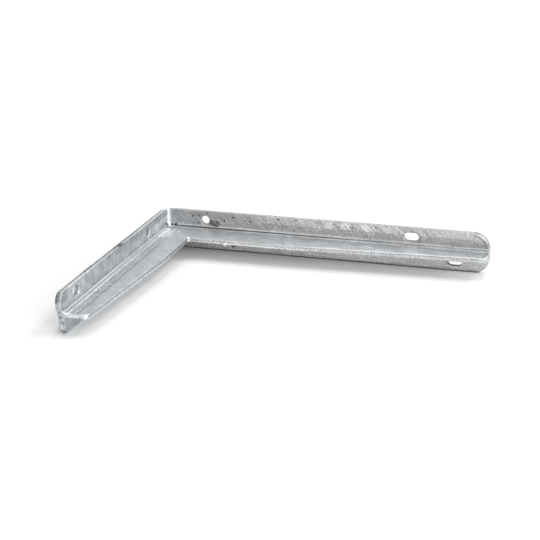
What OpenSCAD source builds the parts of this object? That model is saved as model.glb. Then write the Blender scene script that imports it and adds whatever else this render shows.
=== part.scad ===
// Angle bracket for a shelf, made from one length of rolled T-bar.
// The flange of the bar forms the two outer faces of the L. The stem points to the
// inside of the L as a stiffening rib, and is sheared to a taper towards both ends.
// The part lies on the long edges of its flange: X along the long arm, Y out through
// the long arm's outer face, Z across the flange. All lengths are in millimetres.

/* [Rolled T-bar] */
// Width of the flange, edge to edge
flange_w = 30; // [28:0.5:36]
// Thickness of the flange
flange_t = 4; // [3:0.25:5]
// Thickness of the stem
stem_t = 3.5; // [2.5:0.25:5]
// Radius of the fillet where the stem meets the flange
root_r = 3; // [1:0.25:3.5]
// Rounding of the flange's long edges, on the stem's side
toe_r = 1; // [0.3:0.1:1.4]
// Rounding of the flange's long edges, on the outer side
rim_r = 0.5; // [0.2:0.1:1.4]

/* [Arms] */
// Reach of the long arm, from the outer corner to its end
long_arm = 250; // [200:1:320]
// Reach of the short arm, from the outer corner to its end
short_arm = 201.5; // [180:0.5:260]
// Radius of the bend on the flange's inner face
bend_inner_r = 4; // [4:0.5:5]
// Radius of the bend on the outer faces, over which the flange is drawn thinner
bend_outer_r = 12; // [10.5:0.5:13]

/* [Cropped ends of the flange] */
// Radius of the upper corner at the long arm's end
long_upper_r = 12.5; // [4:0.5:12.5]
// Radius of the lower corner at the long arm's end
long_lower_r = 11; // [2:0.5:12]
// Radius of the upper corner at the short arm's end
short_upper_r = 7; // [4:0.5:12.5]
// Radius of the lower corner at the short arm's end
short_lower_r = 5; // [2:0.5:12]
// Degrees by which the short arm's end is sheared out of square
short_skew = 16; // [0:1:20]

/* [Stem] */
// Depth of the full section next to the bend, from the flange's outer face
corner_depth = 29; // [26:0.5:34]
// Depth that is left at the long arm's end
long_tip_depth = 21; // [16:0.5:24]
// Depth that is left at the short arm's end
short_tip_depth = 21.5; // [16:0.5:24]
// Where the taper starts on the long arm, from the outer corner
long_taper_start = 105; // [70:5:140]
// Where the taper starts on the short arm, from the outer corner
short_taper_start = 80; // [50:5:110]
// Radius in the stem's inner corner
crotch_r = 1.5; // [0.5:0.25:6]
// Radius of the stem's free corners at the ends
tip_r = 3; // [1:0.5:5]

/* [Round holes near the bend] */
// Diameter of a round hole
hole_d = 7; // [5:0.25:8]
// First hole of the long arm, from the outer corner, in the upper row
long_first_hole = 34; // [28:0.5:42]
// First hole of the short arm, from the outer corner, in the lower row
short_first_hole = 23.5; // [22:0.5:32]
// Distance along an arm from its first hole to its second, in the other row
hole_pitch = 22.5; // [18:0.5:30]

/* [Slots near the ends] */
// Width of a slot
slot_w = 7; // [5:0.25:8]
// Length of a slot, end to end
slot_len = 11.5; // [9:0.5:16]
// End of an arm to the middle of its last slot: lower row if long, upper if short
slot_margin = 25; // [22:0.5:35]
// Distance along an arm between its two slots, the other one in the other row
slot_pitch = 32.5; // [24:0.5:45]

/* [Rows of holes] */
// Distance between the two rows on the long arm
long_row_gap = 16; // [15:0.5:18]
// Distance between the two rows on the short arm
short_row_gap = 17.5; // [15:0.5:18]

/* [Hidden] */
$fn = 64;
// How far a cutter runs past the face that it opens
over = 1;
// Distance from the outer corner at which the inner faces start to bend
bend_start = bend_inner_r + flange_t;
// The stem's plate is rooted at this depth, in the middle of the flange
root_depth = flange_t / 2;
// Depth at which the root fillets end and the stem runs on by itself
fillet_depth = flange_t + root_r;
// Length of a cutter that passes through the flange and its fillets
cut_len = fillet_depth + 2 * over;
// Half of the flange's width: heights are taken from the middle of the stem
half_w = flange_w / 2;

// Distance along the arm at which its sheared end lies at height z
function end_x(reach, upper_r, skew, z) =
    ((reach - upper_r) * cos(skew) - (half_w - upper_r - z) * sin(skew) + upper_r) / cos(skew);

// Cutter that rounds a corner at the origin, with the material in the first quadrant
module corner_cut(r) {
    difference() {
        translate([-over, -over]) square(r + over);
        translate([r, r]) circle(r);
    }
}

// Section of the flange and the root fillets: X is the depth from the outer face.
// With some stock, the outer face stands that much proud and its edges stay square
module tee_section(stock = 0) {
    fillet_y = stem_t / 2 + root_r;
    difference() {
        translate([-stock, -half_w]) square([flange_t + stock, flange_w]);
        for (m = [0, 1]) mirror([0, m]) {
            if (stock == 0) translate([0, -half_w]) corner_cut(rim_r);
            translate([flange_t, -half_w]) rotate(90) corner_cut(toe_r);
        }
    }
    difference() {
        translate([root_depth, -fillet_y])
            square([fillet_depth - root_depth, 2 * fillet_y]);
        for (m = [0, 1]) mirror([0, m])
            translate([fillet_depth, fillet_y]) circle(root_r);
    }
}

// Side view of a flange along X, up to its end with two rounded corners
module flange_outline(reach, upper_r, lower_r, skew) {
    outward = [cos(skew), -sin(skew)];
    upper = [reach - upper_r, half_w - upper_r];
    lower = [end_x(reach, upper_r, skew, lower_r - half_w) - lower_r / cos(skew),
        lower_r - half_w];
    polygon([[0, half_w], [upper.x, half_w], upper + upper_r * outward,
        lower + lower_r * outward, [lower.x, -half_w], [0, -half_w]]);
    translate(upper) circle(upper_r);
    translate(lower) circle(lower_r);
}

// One straight arm's bar along +X, with its outer face at Y = 0 and its stem towards -Y
module straight_bar(reach, upper_r, lower_r, skew) {
    intersection() {
        translate([bend_outer_r, 0, 0]) mirror([0, 1, 0]) rotate([90, 0, 90])
            linear_extrude(reach - bend_outer_r) tee_section();
        translate([0, over, 0]) rotate([90, 0, 0])
            linear_extrude(cut_len) flange_outline(reach, upper_r, lower_r, skew);
    }
}

// Section of the disc that limits the bend on its outer side: X is the distance
// from the axis of the outer radius
module bend_limit() {
    difference() {
        translate([0, -half_w]) square([bend_outer_r, flange_w]);
        for (m = [0, 1]) mirror([0, m])
            translate([bend_outer_r, -half_w]) rotate(90) corner_cut(rim_r);
    }
}

// Straight stretch of the bend, from the end of its inner radius to the arm
module bend_leg() {
    translate([bend_start, 0, 0]) mirror([0, 1, 0]) rotate([90, 0, 90])
        linear_extrude(bend_outer_r - bend_start) tee_section(over);
}

// The corner that joins the two arms: tight on the inside, wider on the outside
module bend() {
    intersection() {
        translate([bend_outer_r, -bend_outer_r, 0]) rotate([0, 0, 90])
            rotate_extrude(angle = 90) bend_limit();
        union() {
            translate([bend_start, -bend_start, 0]) rotate([0, 0, 90])
                rotate_extrude(angle = 90)
                    translate([bend_start, 0]) mirror([1, 0]) tee_section(over);
            bend_leg();
            on_short_arm() bend_leg();
        }
    }
}

// Cutter that rounds the corner at p, whose sides run in the directions a and b
module tip_cut(p, a, b, r) {
    mid = (a + b) / 2;
    half = abs(b - a) / 2;
    inward = [cos(mid), sin(mid)];
    centre = p + r / sin(half) * inward;
    difference() {
        polygon([p - over * inward, p + r / tan(half) * [cos(a), sin(a)],
            centre, p + r / tan(half) * [cos(b), sin(b)]]);
        translate(centre) circle(r);
    }
}

// Outline of the tapered stem, seen along the width of the flange
module stem_outline() {
    long_tip = [long_arm, -long_tip_depth];
    short_end = end_x(short_arm, short_upper_r, short_skew, -stem_t / 2);
    short_tip = [short_tip_depth, -short_end];
    long_slope = atan((corner_depth - long_tip_depth) / (long_arm - long_taper_start));
    short_slope = atan((corner_depth - short_tip_depth) / (short_end - short_taper_start));
    difference() {
        polygon([[root_depth, -root_depth], [long_arm, -root_depth], long_tip,
            [long_taper_start, -corner_depth], [corner_depth, -corner_depth],
            [corner_depth, -short_taper_start], short_tip, [root_depth, -short_end]]);
        translate([root_depth, -root_depth]) rotate(-90)
            corner_cut((bend_start + bend_outer_r) / 2 - root_depth);
        tip_cut(long_tip, 90, 180 + long_slope, tip_r);
        tip_cut(short_tip, 90 - short_slope, 180, tip_r);
    }
    // Fillet in the inner corner
    difference() {
        translate([corner_depth - over, -corner_depth - crotch_r])
            square(crotch_r + over);
        translate([corner_depth + crotch_r, -corner_depth - crotch_r])
            circle(crotch_r);
    }
}

// Round hole through a flange whose outer face is Y = 0, at x along the arm
module hole(x, z) {
    translate([x, over, z]) rotate([90, 0, 0]) cylinder(h = cut_len, d = hole_d);
}

// Slot through the same flange, with its length along the arm
module slot(x, z) {
    run = slot_len - slot_w;
    for (side = [-1, 1]) translate([x + side * run / 2, over, z]) rotate([90, 0, 0])
        cylinder(h = cut_len, d = slot_w);
    translate([x - run / 2, over - cut_len, z - slot_w / 2])
        cube([run, cut_len, slot_w]);
}

// Staggered holes of one arm: the first hole and the last slot lie in opposite rows
module arm_holes(reach, first_hole, row_z) {
    hole(first_hole, row_z);
    hole(first_hole + hole_pitch, -row_z);
    slot(reach - slot_margin - slot_pitch, row_z);
    slot(reach - slot_margin, -row_z);
}

// Carries what is drawn for an arm along +X over to the arm along -Y
module on_short_arm() {
    mirror([1, 1, 0]) children();
}

module bracket() {
    color([0.67, 0.70, 0.72])
    translate([-long_arm / 2, short_arm / 2, half_w])
    difference() {
        union() {
            straight_bar(long_arm, long_upper_r, long_lower_r, 0);
            on_short_arm()
                straight_bar(short_arm, short_upper_r, short_lower_r, short_skew);
            bend();
            linear_extrude(stem_t, center = true) stem_outline();
        }
        arm_holes(long_arm, long_first_hole, long_row_gap / 2);
        on_short_arm() arm_holes(short_arm, short_first_hole, -short_row_gap / 2);
    }
}

bracket();
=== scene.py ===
from math import cos, radians, sin

import bpy
import bmesh
import numpy as np
from mathutils import Matrix, Vector, noise


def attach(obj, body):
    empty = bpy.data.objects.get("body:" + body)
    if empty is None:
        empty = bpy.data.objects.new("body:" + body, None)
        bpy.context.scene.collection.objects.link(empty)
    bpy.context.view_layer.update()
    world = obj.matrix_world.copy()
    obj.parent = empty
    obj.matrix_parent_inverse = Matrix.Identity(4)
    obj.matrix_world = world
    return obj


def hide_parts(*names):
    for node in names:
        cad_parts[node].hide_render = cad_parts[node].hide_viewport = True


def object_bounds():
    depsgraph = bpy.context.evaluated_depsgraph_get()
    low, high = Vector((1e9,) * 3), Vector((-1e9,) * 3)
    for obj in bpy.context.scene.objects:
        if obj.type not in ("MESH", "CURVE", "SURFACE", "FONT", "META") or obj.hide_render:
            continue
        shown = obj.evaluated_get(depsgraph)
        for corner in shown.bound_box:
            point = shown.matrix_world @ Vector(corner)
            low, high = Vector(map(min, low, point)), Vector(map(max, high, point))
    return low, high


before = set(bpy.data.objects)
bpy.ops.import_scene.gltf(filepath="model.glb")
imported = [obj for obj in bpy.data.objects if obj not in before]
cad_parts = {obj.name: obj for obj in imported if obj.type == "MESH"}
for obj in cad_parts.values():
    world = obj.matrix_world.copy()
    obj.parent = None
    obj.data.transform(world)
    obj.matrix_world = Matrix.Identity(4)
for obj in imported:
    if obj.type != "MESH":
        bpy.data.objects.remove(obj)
cad_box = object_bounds()

# Camera. A long lens stands to the right of the bracket, about a metre away, and looks
# down on it at a slant, so that the long arm runs to the right and the short arm comes forward.
lens_mm, sensor_mm = 96.99, 36.0
azimuth, pitch, roll = radians(-16.68), radians(19.2), radians(-0.43)
target = Vector((-0.01753, 0.02192, 0.015))
stand_off = 1.01664
forward = Vector((sin(azimuth) * cos(pitch), cos(azimuth) * cos(pitch), -sin(pitch)))
level_right = Vector((cos(azimuth), -sin(azimuth), 0.0))
level_up = level_right.cross(forward)
right = cos(roll) * level_right + sin(roll) * level_up
up = cos(roll) * level_up - sin(roll) * level_right
camera_data = bpy.data.cameras.new("camera")
camera_data.lens = lens_mm
camera_data.sensor_width = sensor_mm
camera = bpy.data.objects.new("camera", camera_data)
camera_axes = Matrix((right, up, -forward)).transposed().to_4x4()
camera.matrix_world = Matrix.Translation(target - stand_off * forward) @ camera_axes
bpy.context.scene.collection.objects.link(camera)
bpy.context.scene.camera = camera
bpy.context.scene.view_settings.view_transform = "Standard"

# Studio room. White on every side for the eye and for reflections, and a little dimmer as
# light, so that the lamps can shape the metal.
room_light = 0.67
room = bpy.data.worlds.new("studio_room")
room.use_nodes = True
bpy.context.scene.world = room
nodes, links = room.node_tree.nodes, room.node_tree.links
dim = nodes["Background"]
dim.inputs["Color"].default_value = (room_light, room_light, room_light, 1.0)
white = nodes.new("ShaderNodeBackground")
white.inputs["Color"].default_value = (1.0, 1.0, 1.0, 1.0)
rays = nodes.new("ShaderNodeLightPath")
seen_or_glossy = nodes.new("ShaderNodeMath")
seen_or_glossy.operation = "MAXIMUM"
links.new(rays.outputs["Is Camera Ray"], seen_or_glossy.inputs[0])
links.new(rays.outputs["Is Glossy Ray"], seen_or_glossy.inputs[1])
seen = nodes.new("ShaderNodeMath")
seen.operation = "MAXIMUM"
links.new(seen_or_glossy.outputs[0], seen.inputs[0])
links.new(rays.outputs["Is Transmission Ray"], seen.inputs[1])
either = nodes.new("ShaderNodeMixShader")
links.new(seen.outputs[0], either.inputs[0])
links.new(dim.outputs[0], either.inputs[1])
links.new(white.outputs[0], either.inputs[2])
links.new(either.outputs[0], nodes["World Output"].inputs["Surface"])

# Studio floor. A sheet of matt white paper that runs out past the view on all sides and
# takes the bracket's soft shadow.
paper_tone = 0.95
paper_reach = 6.0
floor_mesh = bpy.data.meshes.new("floor")
form = bmesh.new()
bmesh.ops.create_grid(form, x_segments=1, y_segments=1, size=paper_reach)
form.to_mesh(floor_mesh)
form.free()
floor = bpy.data.objects.new("floor", floor_mesh)
bpy.context.scene.collection.objects.link(floor)
paper = bpy.data.materials.new("white_paper")
paper.use_nodes = True
shader = paper.node_tree.nodes["Principled BSDF"]
shader.inputs["Base Color"].default_value = (paper_tone, paper_tone, paper_tone, 1.0)
shader.inputs["Roughness"].default_value = 1.0
shader.inputs["Specular IOR Level"].default_value = 0.0
floor_mesh.materials.append(paper)


# Lamps. Three soft boxes along the right-hand side and one overhead. Each is given by the
# compass angle it stands at, its height in degrees, its share of full light and its spread.
def soft_box(name, angle, height, share, spread):
    data = bpy.data.lights.new(name, "SUN")
    data.energy = share * np.pi
    data.angle = radians(spread)
    lamp = bpy.data.objects.new(name, data)
    a, h = radians(angle), radians(height)
    towards_lamp = Vector((sin(a) * cos(h), -cos(a) * cos(h), sin(h)))
    lamp.rotation_mode = "QUATERNION"
    lamp.rotation_quaternion = towards_lamp.to_track_quat("Z", "Y")
    bpy.context.scene.collection.objects.link(lamp)


soft_box("front_right_box", 45, 25, 0.31, 30.0)
soft_box("right_box", 90, 25, 0.205, 16.0)
soft_box("back_right_box", 118, 50, 0.22, 15.0)
soft_box("overhead_box", 80, 80, 0.15, 14.0)


# Bracket. One length of rolled T-bar, bent, sheared at its ends, punched and then dipped in
# molten zinc. The dip rounds every edge and leaves waves, beads and runs on the faces.
mm = 0.001
low, high = cad_box
touching = 0.01 * mm
cell = 0.5 * mm
softening_rounds = 2
softening = 0.35
most_triangles = 192_000
skin = bpy.data.objects.new("bracket_skin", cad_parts["bracket"].data.copy())
bpy.context.scene.collection.objects.link(skin)
form = bmesh.new()
form.from_mesh(skin.data)
bmesh.ops.remove_doubles(form, verts=form.verts, dist=touching)
form.to_mesh(skin.data)
form.free()
remesh = skin.modifiers.new("remesh", "REMESH")
remesh.mode = "VOXEL"
remesh.voxel_size = cell
dipped = bpy.data.meshes.new_from_object(skin.evaluated_get(bpy.context.evaluated_depsgraph_get()))
skin.modifiers.clear()
skin.data = dipped
form = bmesh.new()
form.from_mesh(dipped)
for turn in range(softening_rounds):
    bmesh.ops.smooth_vert(
        form, verts=form.verts, factor=softening, use_axis_x=True, use_axis_y=True, use_axis_z=True
    )
form.to_mesh(dipped)
form.free()
dipped.shade_smooth()

# Places on the bracket in millimetres: how far along an arm from the outer corner, how deep
# from the outer face, and how high above the lower edge of the flange.
count = len(dipped.vertices)
points = np.empty(count * 3)
dipped.vertices.foreach_get("co", points)
points = points.reshape(-1, 3)
normals = np.empty(count * 3)
dipped.vertices.foreach_get("normal", normals)
normals = normals.reshape(-1, 3)
from_short_face = (points[:, 0] - low.x) / mm
from_long_face = (high.y - points[:, 1]) / mm
on_long = from_short_face > from_long_face
on_short = ~on_long
along = np.maximum(from_short_face, from_long_face)
depth = np.minimum(from_short_face, from_long_face)
height = (points[:, 2] - low.z) / mm
facing_in = np.where(on_long, -normals[:, 1], normals[:, 0])
facing_up = normals[:, 2]


def wave(size, octaves=2, seed=0.0):
    """Smooth noise, about -1 to 1, whose waves are about size millimetres long."""
    shift = Vector((seed, 2 * seed, 3 * seed))
    scale = 1 / (size * mm)
    return np.array([noise.fractal(Vector(p) * scale + shift, 1.0, 2.0, octaves) for p in points])


def bell(value, centre, width):
    """One at the centre, falling away over about a width."""
    return np.exp(-((value - centre) / width) ** 2)


def step(value, start, end):
    """Zero at start and one at end, with a soft slope between."""
    share = np.clip((value - start) / (end - start), 0.0, 1.0)
    return share * share * (3 - 2 * share)


def near(x, y, h, radius):
    """One at a place given from the short face, the long face and the lower edge, less around it."""
    away = (from_short_face - x) ** 2 + (from_long_face - y) ** 2 + (height - h) ** 2
    return np.exp(-away / radius ** 2)


# Waves of the coating, stronger on the sheared ends and along the stem of the short arm.
stem_top = facing_up > 0.7
upper_half = height > 15
ripple = wave(1.7, 2, 9.0)
push = 0.06 * wave(14, 2, 1.0) + 0.03 * wave(3, 2, 5.0)
rough_band = on_short * step(depth, 7.6, 8.6) * step(depth, 14.2, 12.8) * stem_top
push += 0.09 * rough_band * ripple
short_end = on_short * step(along, 196.5, 199.5)
push += short_end * (0.55 * wave(3.0, 2, 13.0) - 0.1) * (height < 17)

# Zinc gathered along the root of the stem: a ridge beside a groove, on each arm.
root_drop = height - depth
in_root = upper_half * (depth < 9) * (depth > 3.9)
from_bend = step(along, 8, 14)
push -= 0.30 * on_long * in_root * bell(root_drop, 12.7, 0.6) * from_bend * (1 - 0.5 * step(along, 115, 180))
push += 0.16 * on_long * in_root * bell(root_drop, 10.3, 0.7) * from_bend
push -= 0.22 * on_short * in_root * bell(root_drop, 13.8, 0.45) * from_bend
push += 0.34 * on_short * stem_top * bell(depth + 0.35 * step(along, 160, 140), 7.6, 0.6) * from_bend
push -= 0.12 * on_short * stem_top * bell(depth, 13.8, 0.6) * step(along, 25, 60)

# Beads, drips and dents, each given by its place, its radius and how far it lifts the skin.
for x, y, h, radius, lift in (
    (5.6, 5.4, 18.4, 1.0, 0.5),
    (3.9, 6.8, 18.6, 0.7, -0.5),
    (7.4, 7.4, 17.3, 1.1, 0.45),
    (8.6, 5.4, 17.6, 0.8, 0.4),
    (9.8, 5.0, 17.4, 0.5, -0.4),
    (17.9, 17.7, 16.75, 1.3, 0.4),
    (14.0, 15.6, 16.75, 1.2, 0.2),
    (10.6, 13.0, 16.75, 1.2, 0.2),
    (57.6, 28.6, 12.8, 2.2, 1.5),
    (145.0, 12.0, 16.75, 1.0, 0.2),
    (98.0, 28.9, 14.5, 1.2, 0.3),
    (1.2, 197.5, 4.2, 2.2, 2.6),
    (3.6, 198.0, 10.4, 1.3, 0.9),
    (1.6, 198.5, 15.0, 1.0, -0.9),
    (3.0, 197.5, 7.4, 1.1, -0.8),
    (1.0, 198.0, 11.4, 1.1, -0.8),
):
    push += lift * near(x, y, h, radius)

# Crease of the bend, filled with zinc, and chips along the outer edge of the short arm's rim.
in_crease = (facing_in > 0.3) * (from_short_face + from_long_face > 8.7) * (depth < 7)
push += 0.35 * bell(from_short_face - from_long_face, 0, 2.0) * in_crease
rim = height > 28.5
for start, end, bite in ((93, 101, 0.12), (102, 110, 0.08)):
    push -= bite * on_short * rim * (depth < 3.5) * step(along, start, start + 1) * step(along, end, end - 2)
push += 0.25 * on_short * rim * (depth < 2.0) * step(along, 141, 143) * step(along, 157, 155)

# Zinc on the walls of the holes and slots, thickest in the slots.
past_last_slot = np.where(on_long, 236, 191)
in_hole = (depth > 0.4) * (depth < 3.6) * (height > 2) * (height < 28)
in_hole = in_hole * (along > 14) * (along < past_last_slot)
push += in_hole * np.where(along > 160, 0.32, 0.18)

# The skin is pushed out, kept inside the solid's box and thinned to its share of triangles.
points += normals * push[:, None] * mm
points = np.clip(points, np.array(low), np.array(high))
dipped.vertices.foreach_set("co", points.ravel())
dipped.update()
triangles = 2 * len(dipped.polygons)
thinning = skin.modifiers.new("thinning", "DECIMATE")
thinning.ratio = most_triangles / triangles
thinned = bpy.data.meshes.new_from_object(skin.evaluated_get(bpy.context.evaluated_depsgraph_get()))
skin.modifiers.clear()
skin.data = thinned
thinned.shade_smooth()

# Zinc finish. Dull grey spangle, streaked and pitted where the bar was drawn out of the
# bath, rougher on the long arm's flange and bluer on the short arm. Light and shade are also
# painted into the colour: painted shade over the long arm's flange and in grooves, holes and
# under edges, painted light over other faces, and painted highlights on edges, ridges and beads.
zinc = bpy.data.materials.new("galvanised_zinc")
zinc.use_nodes = True
nodes, links = zinc.node_tree.nodes, zinc.node_tree.links
shader = nodes["Principled BSDF"]
shader.inputs["Metallic"].default_value = 0.9


class Reading:
    """A number read off the zinc at each point. Readings add, subtract and multiply."""

    def __init__(self, socket):
        self.socket = socket

    def __add__(self, other):
        return worked("ADD", self, other)

    def __sub__(self, other):
        return worked("SUBTRACT", self, other)

    def __rsub__(self, other):
        return worked("SUBTRACT", other, self)

    def __mul__(self, other):
        return worked("MULTIPLY", self, other)

    __radd__ = __add__
    __rmul__ = __mul__


def give(socket, value):
    """Feed a socket from a reading, or set it to a plain number."""
    if isinstance(value, Reading):
        links.new(value.socket, socket)
    else:
        socket.default_value = value


def worked(operation, *values):
    """A reading worked out from others, or from numbers, by one operation."""
    node = nodes.new("ShaderNodeMath")
    node.operation = operation
    for socket, value in zip(node.inputs, values):
        give(socket, value)
    return Reading(node.outputs[0])


def rise(value, start, end):
    """Zero before start and one after end, with a soft slope between."""
    node = nodes.new("ShaderNodeMapRange")
    node.interpolation_type = "SMOOTHSTEP"
    for name, number in (("Value", value), ("From Min", start), ("From Max", end)):
        give(node.inputs[name], number)
    return Reading(node.outputs["Result"])


def band(value, start, end, edge):
    """One from start to end and zero beyond, with soft edges."""
    return rise(value, start - edge, start + edge) * rise(value, end + edge, end - edge)


def line(value, centre, half):
    """One at the centre, sloping to zero a half width to either side."""
    return rise(worked("ABSOLUTE", value - centre), half, 0.0)


def distance(across, up):
    """How far away a place is that lies this far across and this far up."""
    return worked("SQRT", across * across + up * up)


def spread(x, y, z, sizes, seed, detail=2.0):
    """Noise, about -1 to 1, whose grains have the given sizes along the three readings."""
    values = [value * (1 / size) + seed for value, size in zip((x, y, z), sizes)]
    place = nodes.new("ShaderNodeCombineXYZ")
    for socket, value in zip(place.inputs, values):
        give(socket, value)
    node = nodes.new("ShaderNodeTexNoise")
    node.inputs["Scale"].default_value = 1.0
    node.inputs["Detail"].default_value = detail
    links.new(place.outputs[0], node.inputs["Vector"])
    return Reading(node.outputs["Fac"]) * 4 - 2


# Places in millimetres: x from the short arm's outer face, y from the long arm's, h above the
# lower edge, s along an arm from the outer corner and d in from that arm's outer face.
places = nodes.new("ShaderNodeTexCoord")
in_mm = nodes.new("ShaderNodeMapping")
in_mm.inputs["Location"].default_value = (-low.x / mm, high.y / mm, -low.z / mm)
in_mm.inputs["Scale"].default_value = (1 / mm, -1 / mm, 1 / mm)
links.new(places.outputs["Object"], in_mm.inputs["Vector"])
split = nodes.new("ShaderNodeSeparateXYZ")
links.new(in_mm.outputs[0], split.inputs[0])
x, y, h = (Reading(socket) for socket in split.outputs)
s = worked("MAXIMUM", x, y)
d = worked("MINIMUM", x, y)

# Grain of the coat: fine spangle, broad clouds, streaks that lean across the faces, flow
# marks along the arms, and the specks, strokes and scratches that the marks below draw on.
drop = h - d
lean = radians(47)
along_streak = s * cos(lean) - drop * sin(lean)
across_streak = s * sin(lean) + drop * cos(lean)
spangle = spread(x, y, h, (1.1, 1.1, 1.1), 3.0)
clouds = spread(x, y, h, (7.0, 7.0, 5.0), 11.0)
streaks = spread(along_streak, across_streak, d, (9.0, 0.9, 6.0), 5.0)
flow = spread(s, drop, d, (22.0, 0.8, 9.0), 7.0)
upright = spread(s, h, d, (3.0, 14.0, 6.0), 41.0)
flecks = rise(spread(x, y, h, (1.5, 1.5, 1.5), 51.0, 0.0), 0.75, 1.1)
strokes = rise(spread(along_streak, across_streak, d, (7.0, 0.8, 6.0), 21.0, 0.0), -0.5, 0.3)
threads = spread(s, drop, d, (26.0, 0.6, 9.0), 91.0)
speckle = spread(x, y, h, (1.5, 1.5, 1.5), 31.0)
dots = rise(spread(x, y, h, (1.4, 1.4, 1.4), 33.0, 0.0), 0.45, 0.85) * rise(s, 40, 60)
scratches = spread(s, d, h, (0.9, 7.0, 9.0), 61.0)
brushed = spread(s, d, h, (24.0, 0.8, 9.0), 95.0)
mottle = spread(s, d, h, (3.0, 2.5, 3.0), 81.0)
end_pits = rise(spread(x, y, h, (2.2, 2.2, 2.2), 71.0), 0.1, 0.7)

# The place is read a second time, for the masks. The renderer works through its nodes in
# rounds, and this puts each mask in the noise's round, where it is used as soon as it is made.
# Without it too many masks wait at once, and the renderer gives the material up as black.
again = nodes.new("ShaderNodeCombineXYZ")
for socket, value in zip(again.inputs, (x, y, h)):
    give(socket, value)
split_again = nodes.new("ShaderNodeSeparateXYZ")
links.new(again.outputs[0], split_again.inputs[0])
x, y, h = (Reading(socket) for socket in split_again.outputs)
s = worked("MAXIMUM", x, y)
d = worked("MINIMUM", x, y)
drop = h - d
long_arm = rise(x - y, -0.3, 0.3)
short_arm = 1 - long_arm

# Depth below the outer skin, which goes round the bend, and the faces that marks keep to.
bend_radius = 12
corner_x = worked("MAXIMUM", bend_radius - x, 0)
corner_y = worked("MAXIMUM", bend_radius - y, 0)
under_skin = bend_radius - distance(corner_x, corner_y)
inside_bend = rise(x + y, 7.9, 8.9)
inner_face = rise(d, 2.6, 3.4) * rise(d, 5.2, 4.6) * inside_bend
over_root = rise(h, 17.9, 18.9)
long_face = long_arm * inner_face * over_root
short_face = short_arm * inner_face * over_root
low_face = long_arm * inner_face * rise(h, 12.6, 11.6)
stem = rise(d, 5.6, 6.4) * band(h, 12.9, 17.3, 0.3)
stem_face = stem * rise(h, 16.2, 16.6)
long_stem = long_arm * stem_face
short_stem = short_arm * stem_face
rim_face = rise(h, 29.2, 29.7) * rise(d, 3.9, 3.4)
long_taper = 0.0552 * worked("MAXIMUM", s - 105, 0)
short_taper = 0.0617 * worked("MAXIMUM", s - 80, 0)
from_edge = 29 - long_arm * long_taper - short_arm * short_taper - d
stem_front = band(h, 12.8, 16.9, 0.3) * (1 - stem_face) * rise(from_edge, 1.2, 0.6)


def spot(at_s, at_h, half_s, half_h, slant=0.0):
    """A soft round or oval mark on a face, at a place along the arm and above its edge."""
    along = (s + h * slant if slant else s) * (1 / half_s) - (at_s + at_h * slant) / half_s
    above = h * (1 / half_h) - at_h / half_h
    return rise(distance(along, above), 1.0, 0.6)


def blot(at_x, at_y, at_h, radius):
    """A soft round mark at a place in x, y and h."""
    away = nodes.new("ShaderNodeVectorMath")
    away.operation = "DISTANCE"
    links.new(in_mm.outputs[0], away.inputs[0])
    away.inputs[1].default_value = (at_x, at_y, at_h)
    return rise(Reading(away.outputs["Value"]), radius, 0.55 * radius)


def marks(shape, *places):
    """Several spots or blots, added together."""
    total = shape(*places[0])
    for place in places[1:]:
        total += shape(*place)
    return total


# Spangle, streaks and clouds over the whole coat.
tone = 1 + spangle * (0.17 + 0.10 * long_face + 0.08 * low_face + 0.22 * stem_front + 0.18 * rim_face)
tone *= 1 + (0.08 + 0.12 * short_face) * clouds
tone *= 1 + streaks * (0.06 + 0.14 * long_face + 0.05 * long_stem)

# Short arm's inner face: painted light over all of it, soft upright mottling, paler beside the bend, darker
# towards the top, and painted shade low down beside the stem.
tone *= 1 + 0.07 * short_face + 0.10 * short_face * upright
pale = short_face * rise(s, 36, 30) * rise(h, 26.0, 24.0)
upper_face = short_face * rise(h, 23.0, 26.5)
tone *= 1 + 0.22 * pale - 0.14 * upper_face * rise(s, 160, 110)
tone *= 1 - 0.08 * short_face * rise(h, 22, 20)

# Long arm's inner face: painted shade over it, less along its top past a third of its length,
# with pale slanted patches there, more painted shade low down further along, darker near the bend at the
# top.
far_half = rise(s, 68, 82)
light_zone = rise(h, 23.9, 25.1) * far_half * (1 + 0.25 * rise(s, 200, 225))
tone *= 1 - long_face * (0.19 - 0.17 * light_zone)
slid = s + (h - 29) * 1.02
patches = band(s, 127.7, 133.5, 0.6) + band(s, 138.5, 146.9, 0.6) + band(slid, 154, 163, 0.4)
patches += 0.7 * band(slid, 172, 175, 0.5)
patches += 0.7 * band(slid, 180, 184.5, 0.5)
tone *= 1 + long_face * light_zone * rise(h, 29.6, 28.8) * (0.34 * patches + 0.02)
tone *= 1 - 0.14 * long_face * rise(s, 120, 200) * rise(h, 22.5, 20.0)
tone *= 1 - 0.10 * long_face * rise(s, 50, 30) * rise(h, 25, 27)
hatching = rise(streaks, 0.25, 0.6) - rise(streaks, -0.25, -0.6)
tone *= 1 + 0.16 * long_face * band(s, 72, 196, 6.0) * rise(h, 22.5, 24.0) * hatching

# Pits and one hatched stain beside the first hole.
pits = marks(
    spot,
    (24.3, 25.8, 0.9, 0.9),
    (29.6, 26.4, 0.8, 0.8),
    (36.1, 28.9, 0.9, 0.7),
    (49.4, 23.8, 1.0, 1.0),
    (56.4, 26.9, 1.1, 0.9),
    (69.8, 24.6, 0.9, 0.8),
    (91.4, 28.2, 1.2, 0.6, 0.8),
    (105.4, 28.6, 1.3, 0.7, 0.8),
    (107.7, 22.9, 0.8, 0.7),
)
stain = spot(41.2, 20.8, 5.2, 3.6, 0.3)
tone *= 1 - long_face * worked("MINIMUM", 0.8 * pits + stain * (0.25 + 0.7 * strokes), 0.92)
tone *= 1 - 0.4 * long_face * spot(29.0, 20.6, 1.9, 1.8)
flecked_face = long_face * rise(s, 40, 60) * (1 - 0.6 * rise(s, 185, 200))
flecked_low_face = low_face * (1 - 0.4 * rise(s, 120, 140))
tone *= 1 - 0.45 * flecks * (flecked_face + flecked_low_face + 0.7 * stem_front)
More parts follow.
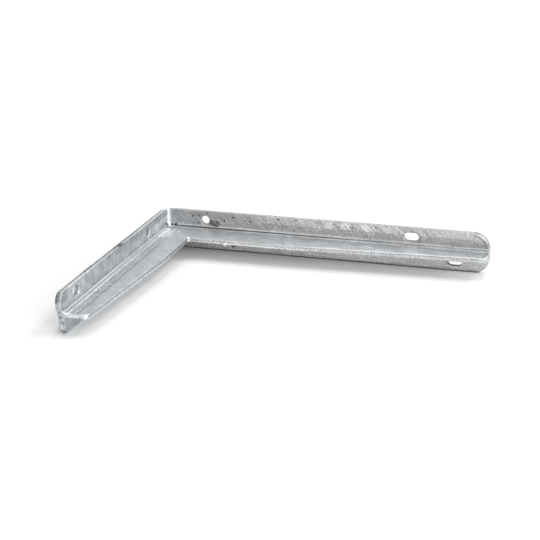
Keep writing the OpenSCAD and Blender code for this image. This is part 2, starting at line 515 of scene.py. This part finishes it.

# Lines along the root of the stem: painted shade in the grooves and painted highlights on the ridge and
# beside it.
root = rise(h, 15.5, 16.5) * rise(d, 3.9, 4.15) * rise(d, 9.2, 8.6) * rise(s, 6.5, 8.5)
fading = 1 - 0.35 * rise(s, 115, 170)
tone *= 1 - 0.9 * long_arm * root * line(drop, 12.7, 1.2 + 0.5 * band(s, 15, 65, 8.0)) * fading
lower_highlight = line(drop, 10.6, 1.4) * (0.40 + 0.30 * rise(s, 50, 100))
tone *= 1 + long_arm * root * (0.30 * line(drop, 14.2, 0.8) + lower_highlight)
tone *= 1 + 0.5 * long_arm * root * band(drop, 9.8, 15.5, 0.3) * threads * rise(s, 60, 200)
groove_shade = line(drop + 0.4 * rise(s, 130, 165), 14.1, 0.9) * (0.38 + 0.12 * rise(s, 60, 150))
tone *= 1 - short_arm * root * (groove_shade + 0.10 * band(drop, 10.2, 11.7, 0.2))
band_highlight = 0.10 * band(drop, 12.0, 13.3, 0.2) * (rise(s, 90, 120) - rise(s, 100, 70))
ridge_highlight = line(drop - 0.4 * rise(s, 165, 140), 9.0, 1.1) * (0.5 + 0.3 * rise(s, 90, 150))
tone *= 1 + short_arm * root * rise(s, 8, 25) * (band_highlight + ridge_highlight)

# Short arm's stem: a rough grey band beside the ridge, a thin dark line, then smooth metal.
rough_strip = short_stem * band(d, 8.2, 13.4, 0.5)
tone *= 1 + rough_strip * (0.03 + 0.5 * speckle)
tone *= 1 - 0.35 * rough_strip * dots
tone *= 1 - 0.38 * short_stem * line(d, 14.1, 1.2) * rise(s, 25, 60)
tone *= 1 + 0.20 * short_stem * scratches * rise(d, 13.0, 15.0)
near_bend = short_stem * rise(s, 38, 26)
tone *= 1 + near_bend * (0.12 + 0.2 * rise(d, 18, 12))

# Long arm's stem: painted light over it, more towards its free edge, a painted highlight right along that
# edge further out, and two scratches across it painted bright as glints.
tone *= 1 + long_stem * (0.09 + 0.16 * rise(d, 9, 20) * rise(s, 60, 150))
scratch_glints = line(s, 163.5, 5.0) * line(d - (s - 160.5) * 0.55, 14.4, 1.4)
scratch_glints += line(s, 171.3, 4.0) * line(d - (s - 169.0) * 0.75, 19.3, 1.3)
tone *= 1 + 0.7 * long_stem * scratch_glints
tone *= 1 + long_stem * (0.16 * brushed + 0.06 * spangle)
tone *= 1 + 0.2 * long_stem * rise(from_edge, 2.2, 0.8) * rise(s, 110, 140)

# Crease of the bend, filled with zinc, with a painted highlight along it; painted highlights on the zinc
# beads there and painted shade under them and in the dents; a painted highlight on the stem's corner facet.
crease = line(x - y, 0, 2.1) * inside_bend * rise(d, 3.6, 4.2) * rise(d, 7.2, 6.6) * rise(h, 17.6, 18.4)
tone += crease * 0.78
bead_highlights = marks(
    blot,
    (5.1, 5.3, 18.4, 1.4),
    (7.4, 7.9, 17.0, 1.5),
    (7.9, 4.6, 17.4, 1.3),
    (17.9, 17.7, 16.7, 1.7),
)
bead_highlights += 0.6 * blot(12.8, 14.8, 16.7, 1.8)
bead_highlights += 0.5 * blot(10.0, 12.2, 16.7, 1.8)
gap_shade = marks(
    blot,
    (4.2, 8.9, 19.4, 1.4),
    (4.6, 6.6, 18.2, 1.3),
    (5.6, 5.4, 17.9, 1.0),
    (7.6, 4.8, 18.0, 1.4),
    (10.6, 4.5, 18.2, 1.4),
    (8.2, 10.2, 16.9, 1.6),
    (10.6, 14.3, 16.8, 1.3),
    (6.0, 9.4, 17.2, 1.3),
)
tone += 0.5 * bead_highlights
tone *= 1 - 0.85 * worked("MINIMUM", gap_shade, 1.0)
corner_facet_highlight = line(x - y, 0.3, 1.7) * rise(d, 27.4, 28.0) * stem
tone += corner_facet_highlight * 0.7
# Painted highlight near the end of the long arm's stem, and a painted dark line of shade across its end.
tone += 0.3 * blot(246.6, 21.2, 15.2, 2.2) * long_arm
tone *= 1 - 0.5 * long_arm * stem * line(s + (d - 8) * 0.25, 249.5, 1.0) * band(d, 4.0, 19.0, 1.0)

# Free edge of the stem and the rims, with painted highlights and painted shade on their rounded edges.
near_half = rise(s, 140, 110)
# Painted highlight along the long stem's free edge near the bend with painted shade below and above it, a
# painted highlight on the drip, and on the short stem a painted highlight low on its free edge with painted
# shade above.
tone *= 1 + stem_front * long_arm * (0.04 + 0.42 * line(h, 14.1, 0.8) * near_half)
tone *= 1 - 0.35 * long_arm * stem_front * rise(h, 14.0, 13.5) * near_half
tone += 0.28 * blot(57.6, 29.0, 12.4, 3.0) * long_arm
tone *= 1 - 0.36 * long_arm * stem_front * line(h, 16.2, 0.9) * rise(s, 60, 180)
tone *= 1 + stem_front * short_arm * (0.7 * line(h, 13.6, 0.9) - 0.25 * band(h, 14.8, 16.2, 0.3))
# Painted shade on the rounded toe of the rims, which dims its highlight.
toe = rise(d, 3.3, 3.7) * rise(h, 28.8, 29.4) * rise(d, 4.8, 4.3)
tone *= 1 - 0.42 * toe * short_arm - 0.15 * toe * long_arm
# Along the rims' outer edges: painted light on the short arm, turning darker on its worn stretch, and
# painted shade on the long arm; painted light on the short arm's rim top, and its own mottle.
outer_edge = rise(h, 28.9, 29.5) * rise(under_skin, 0.9, 0.3)
worn = band(s, 60, 145, 6.0)
tone *= 1 + (0.14 - 0.40 * worn) * outer_edge * short_arm - 0.6 * outer_edge * long_arm
tone *= 1 + (0.28 - 0.16 * worn) * short_arm * rim_face * rise(d, 0.7, 1.1)
tone *= 1 + (0.26 - 0.10 * worn) * short_arm * rim_face * band(d, 0.7, 2.4, 0.3)
tone *= 1 + 0.16 * short_arm * rise(h, 29.2, 29.7) * band(d, 2.9, 3.6, 0.3)
tone *= 1 + 0.16 * rim_face * short_arm * mottle

# Chips on the short arm's rim, a painted contact shadow along the foot of the long arm where it meets the
# ground, and painted light over the low face above that line.
chips = band(s + d * 0.5, 94.2, 101.6, 0.7) * rise(d, 4.0, 3.4)
chips += 0.9 * band(s, 101, 110, 1.2) * rise(d, 2.3, 1.6)
chips *= short_arm * rise(h, 28.2, 28.9)
chips += marks(blot, (1.5, 145.5, 29.8, 1.2), (1.6, 150.5, 29.8, 1.2), (1.4, 155.5, 29.8, 1.2))
tone *= 1 - 0.78 * worked("MINIMUM", chips, 1.0)
contact_shadow = long_arm * rise(d, 2.0, 3.0) * rise(h, 1.1, 0.5) * rise(s, 12, 14)
tone *= 1 - 0.95 * contact_shadow
tone *= 1 + low_face * rise(h, 1.6, 2.6) * (0.09 + 0.10 * rise(s, 70, 130))

# Rounded end of the long arm: rings of painted shade and a painted highlight along its rounded edge, painted
# shade on its outer edge, and the low face darker low down near the end and lighter along the rest of the
# arm.
round_s, round_h = 237.5, 17.5
rim_ring = distance(s - round_s, worked("MAXIMUM", h - round_h, 0))
on_round = long_face * rise(s, 237.5, 239.0) * rise(h, 18.5, 20.0)
tone *= 1 - on_round * (0.45 * line(rim_ring, 10.2, 1.0) + 0.45 * line(rim_ring, 12.6, 0.7))
tone *= 1 + 0.35 * on_round * line(rim_ring, 11.6, 0.7)
end_edge = long_arm * rise(rim_ring, 11.4, 11.8) * rise(s, 238, 240) * rise(h, 18, 19) * rise(d, 1.8, 0.9)
tone *= 1 - 0.5 * end_edge
tone *= 1 - 0.14 * low_face * rise(s, 228, 240) * rise(h, 9, 6)
tone *= 1 + 0.10 * low_face * rise(s, 190, 170)

# Sheared end of the short arm, dark at the top and pitted below, with painted shade along the inner face's
# edge beside it and a painted highlight on the stem's toe.
from_end = 201.8 - s - (23 - h) * 0.287
top_ring = distance(worked("MAXIMUM", s - 194.5, 0), worked("MAXIMUM", h - 23, 0))
top_round = rise(top_ring, 6.0, 6.5) * rise(h, 22.8, 23.2)
sheared = short_arm * worked("MAXIMUM", rise(from_end, 1.3, 0.7) * rise(h, 23.2, 22.8), top_round)
tone *= 1 + sheared * (0.1 - 0.4 * rise(h, 4.0, 2.0) - 0.35 * end_pits * rise(h, 23, 20))
sheared_top = sheared * (0.25 * rise(h, 18.0, 20.0) + 0.75 * rise(h, 22.5, 25.0))
tone *= 1 - sheared_top * (0.25 * rise(d, 3.6, 3.2) + 0.4 * rise(d, 2.6, 1.8))
tone *= 1 - 0.3 * short_arm * band(from_end, 1.2, 2.4, 0.3) * band(d, 3.2, 4.6, 0.3) * over_root
tone *= 1 + 0.25 * sheared * rise(d, 5, 7)
near_tip = rise(s, 197, 199)
end_marks = marks(
    blot,
    (2.4, 200.0, 17.2, 0.9),
    (2.0, 199.0, 13.2, 1.1),
    (1.2, 198.6, 11.4, 0.9),
    (1.6, 197.2, 7.6, 0.8),
    (1.0, 196.2, 3.4, 1.3),
)
end_marks += 0.8 * line(distance(d - 3.1, h - 8.4), 1.5, 0.6)
tone *= 1 - 0.65 * near_tip * worked("MINIMUM", end_marks, 1.0) * short_arm
tone += 1.3 * blot(21.6, 200.6, 15.4, 3.2) * short_arm
tone *= 1 - 0.22 * short_face * rise(s, 189, 193) * rise(h, 21, 24)

# Walls of the holes and slots with painted shade in them, deepest in the long arm's lower holes and the
# short arm's slot; on the low face, painted shade at the lower edge of the first lower hole and a dark
# slanted line by the lower slot.
walls = rise(under_skin, 0.4, 0.9) * rise(d, 3.7, 3.3) * band(h, 2.5, 28.2, 0.3) * band(s, 15, 235, 1.0)
wall_shade = 0.15 + long_arm * (0.15 + 0.55 * rise(h, 9, 7)) + 0.12 * short_arm * rise(s, 100, 60)
tone *= 1 - walls * wall_shade
tone *= 1 - 0.75 * walls * short_arm * spot(178.9, 23.0, 3.6, 2.9, 0.4)
slot_dark_line = line(s - 219.0 + (h - 6.2) * 0.6, 0.0, 0.8) * band(h, 3.6, 9.0, 0.4)
tone *= 1 - low_face * (0.55 * slot_dark_line + 0.8 * blot(55.9, 4.0, 3.9, 1.5))

# Colour, roughness and relief. The short arm and the long arm's stem are the bluer zinc.
tone = worked("MINIMUM", tone, 1.9)
blue_share = 0.7 - 0.6 * rise(x - y, -4, 4) + 0.5 * long_stem
dull_zinc = (0.515, 0.515, 0.517)
bluer_by = (-0.030, 0.003, 0.026)
channels = [tone * (base + shift * blue_share) for base, shift in zip(dull_zinc, bluer_by)]
roughness = 0.46 + 0.05 * clouds + 0.03 * spangle - 0.15 * crease
relief = spangle * (0.25 + 0.5 * long_face + 0.5 * low_face + 0.4 * stem_front)
relief = relief + 0.35 * streaks + 0.25 * flow + 0.6 * rough_strip * speckle
colour = nodes.new("ShaderNodeCombineColor")
for socket, value in zip(colour.inputs, channels):
    give(socket, value)
links.new(colour.outputs[0], shader.inputs["Base Color"])
give(shader.inputs["Roughness"], roughness)
relief_height = 0.1 * mm
bump = nodes.new("ShaderNodeBump")
bump.inputs["Strength"].default_value = 1.0
bump.inputs["Distance"].default_value = relief_height
give(bump.inputs["Height"], relief)
links.new(bump.outputs[0], shader.inputs["Normal"])
thinned.materials.clear()
thinned.materials.append(zinc)

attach(skin, "root")
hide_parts("bracket")
